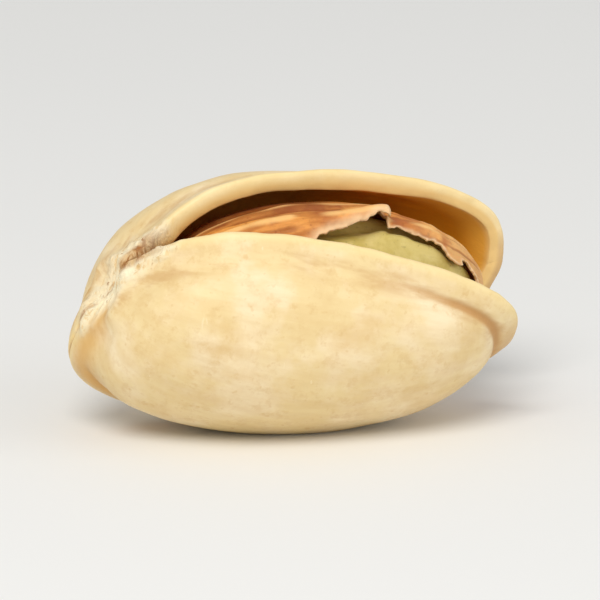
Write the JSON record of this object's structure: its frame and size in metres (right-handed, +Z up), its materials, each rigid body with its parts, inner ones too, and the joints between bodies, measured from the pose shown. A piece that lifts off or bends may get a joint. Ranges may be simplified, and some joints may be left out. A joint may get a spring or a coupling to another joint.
{
  "type": "pistachio in shell",
  "caption": "Single in-shell pistachio, its woody shell gaping along the seam to show a kernel in torn papery skin.",
  "frame": {"origin": "on the table, under the middle of the nut as it lies at rest on its small flat", "axes": "+X from the stem end to the tip, +Z up from the table, the front half of the shell towards -Y and the gap opening upwards"},
  "size_m": [0.022, 0.0126, 0.0124],
  "materials": {
    "shell": "dry, smooth, faintly satin woody shell",
    "kernel": "waxy green seed flesh",
    "kernel_skin": "thin, dry, wrinkled papery skin"
  },
  "bodies": {
    "root": {"shell": "shell", "kernel": "kernel", "kernel_skin": "kernel_skin"}
  },
  "joints": []
}
